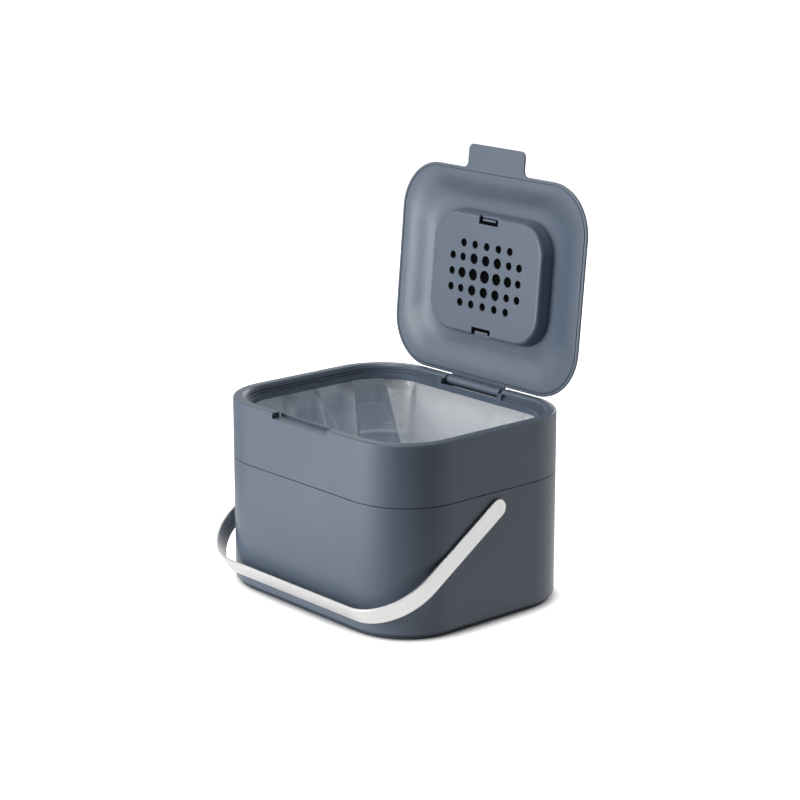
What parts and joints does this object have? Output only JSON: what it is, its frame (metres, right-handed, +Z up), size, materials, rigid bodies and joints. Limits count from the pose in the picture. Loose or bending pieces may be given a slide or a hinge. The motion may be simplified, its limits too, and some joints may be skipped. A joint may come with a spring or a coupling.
{
  "type": "stackable recycling bin",
  "caption": "Rectangular lidded kitchen bin with rounded corners, a lift-off collar that clamps a liner bag, a hinged domed lid with a perforated filter cover, and a steel strap handle.",
  "frame": {"origin": "centre of the foot ring, on the table", "axes": "+Z up, +X to the right seen from the front, +Y to the hinge at the back; stored with the lid open and the handle down in front"},
  "size_m": [0.2406, 0.2256, 0.3443],
  "materials": {
    "plastic": "fine-grained matte blue-grey",
    "steel": "brushed along the strap",
    "washer_plastic": "plain dark plastic",
    "carbon": "black carbon felt",
    "film": "thin frosted film"
  },
  "bodies": {
    "bucket": {"bucket": "plastic", "liner_bag": "film", "rivet_left": "steel", "rivet_right": "steel", "pivot_washer_left": "washer_plastic", "pivot_washer_right": "washer_plastic", "backing_washer_left": "steel", "backing_washer_right": "steel"},
    "collar": {"collar": "plastic", "hinge_pin": "steel"},
    "lid": {"lid": "plastic"},
    "cover": {"filter_cover": "plastic"},
    "filter": {"carbon_filter": "carbon"},
    "handle": {"handle_strap": "steel"}
  },
  "joints": [
    {"name": "collar_lift", "type": "slide", "parent": "bucket", "child": "collar", "axis": [0, 0, 1], "range_m": [0, 0.028]},
    {"name": "lid_hinge", "type": "hinge", "parent": "collar", "child": "lid", "pos_m": [0, 0.0908, 0.1493], "axis": [1, 0, 0], "range_deg": [0, 95.1]},
    {"name": "cover_slide", "type": "slide", "parent": "lid", "child": "cover", "axis": [0, -0.996, 0.0889], "range_m": [0, 0.024]},
    {"name": "filter_slide", "type": "slide", "parent": "lid", "child": "filter", "axis": [0, -0.996, 0.0889], "range_m": [0, 0.012]},
    {"name": "handle_pivot", "type": "hinge", "parent": "bucket", "child": "handle", "pos_m": [0, 0.0024, 0.092], "axis": [-1, 0, 0], "range_deg": [-2.6, 124]}
  ],
  "couplings": [
    {"joint": "filter_slide", "follows": "cover_slide", "ratio": 0.5}
  ]
}
